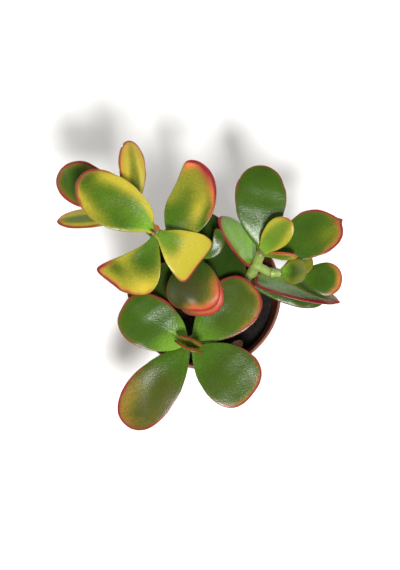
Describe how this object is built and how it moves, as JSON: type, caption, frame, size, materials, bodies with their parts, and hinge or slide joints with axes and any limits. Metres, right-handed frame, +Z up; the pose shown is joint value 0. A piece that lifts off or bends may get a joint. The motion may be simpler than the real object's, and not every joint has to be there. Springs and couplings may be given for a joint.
{
  "type": "potted jade plant",
  "caption": "Young variegated jade plant with thick spoon-shaped leaves on short fleshy stems, in a thin-walled round nursery pot of soil.",
  "frame": {"origin": "centre of the pot's flat underside", "axes": "+Z up out of the pot; -Y towards the side with the lowest rosette, +X towards the side with the shortest double shoot"},
  "size_m": [0.1623, 0.1604, 0.1328],
  "materials": {
    "pot_plastic": "thin injection-moulded terracotta-coloured plastic, satin",
    "potting_soil": "loose dark peat potting mix",
    "stem_bark": "fleshy green stem skin with leaf-scar rings",
    "leaf_green": "waxy green leaf skin with a thin red margin",
    "leaf_dark": "waxy dark green leaf skin",
    "leaf_gold": "waxy yellow-green leaf skin with a red margin",
    "leaf_red": "waxy red-brown skin of a newly opening leaf",
    "leaf_withered": "dry papery shed leaf"
  },
  "bodies": {
    "root": {"pot": "pot_plastic", "soil": "potting_soil", "left_stem": "stem_bark", "middle_stem": "stem_bark", "front_stem": "stem_bark", "right_stem": "stem_bark", "left_leaf_1": "leaf_green", "left_leaf_2": "leaf_gold", "left_leaf_3": "leaf_green", "left_leaf_4": "leaf_green", "left_leaf_5": "leaf_red", "left_leaf_6": "leaf_red", "left_side_leaf_1": "leaf_green", "left_side_leaf_2": "leaf_green", "left_side_leaf_3": "leaf_gold", "middle_leaf_1": "leaf_dark", "middle_leaf_2": "leaf_dark", "middle_leaf_3": "leaf_dark", "middle_leaf_4": "leaf_dark", "middle_leaf_5": "leaf_dark", "middle_leaf_6": "leaf_green", "middle_leaf_7": "leaf_green", "front_leaf_1": "leaf_green", "front_leaf_2": "leaf_green", "front_leaf_3": "leaf_green", "front_leaf_4": "leaf_green", "front_leaf_5": "leaf_gold", "front_leaf_6": "leaf_gold", "right_leaf_1": "leaf_green", "right_leaf_2": "leaf_green", "right_leaf_3": "leaf_green", "right_leaf_4": "leaf_green", "right_leaf_5": "leaf_green", "right_leaf_6": "leaf_gold", "right_leaf_7": "leaf_gold", "right_side_leaf_1": "leaf_green", "right_side_leaf_2": "leaf_green", "right_side_leaf_3": "leaf_green", "right_side_leaf_4": "leaf_green", "fallen_leaf": "leaf_withered"}
  },
  "joints": []
}
